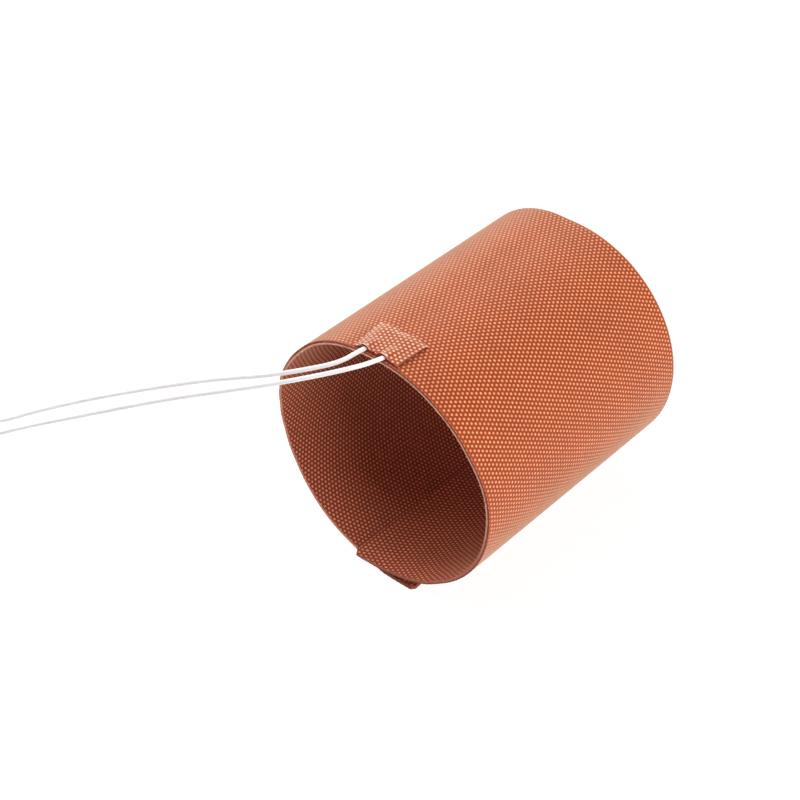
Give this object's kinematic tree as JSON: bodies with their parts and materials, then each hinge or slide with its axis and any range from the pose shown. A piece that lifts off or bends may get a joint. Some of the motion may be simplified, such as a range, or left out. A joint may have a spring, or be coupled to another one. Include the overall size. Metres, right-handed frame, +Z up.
{
  "type": "silicone heater mat",
  "caption": "Flexible silicone rubber heater mat rolled into a tube, with two white flying leads under a cover patch at its front edge.",
  "frame": {"origin": "on the surface that the rolled mat lies on, under the middle of the tube", "axes": "X across the tube, Y along the tube's axis with the leads at the front (-Y) edge, Z up"},
  "size_m": [0.2343, 0.1817, 0.0928],
  "materials": {
    "silicone_cloth": "matt, with a woven imprint",
    "resistance_foil": "etched foil",
    "solder": "dull",
    "lead_insulation": "smooth",
    "tinned_wire": "stranded"
  },
  "bodies": {
    "root": {"outer_face_sheet": "silicone_cloth", "inner_face_sheet": "silicone_cloth", "heating_element": "resistance_foil", "left_solder_joint": "solder", "right_solder_joint": "solder", "lead_cover_patch": "silicone_cloth", "left_lead": "lead_insulation", "right_lead": "lead_insulation", "left_lead_stripped_end": "tinned_wire", "right_lead_stripped_end": "tinned_wire"}
  },
  "joints": []
}
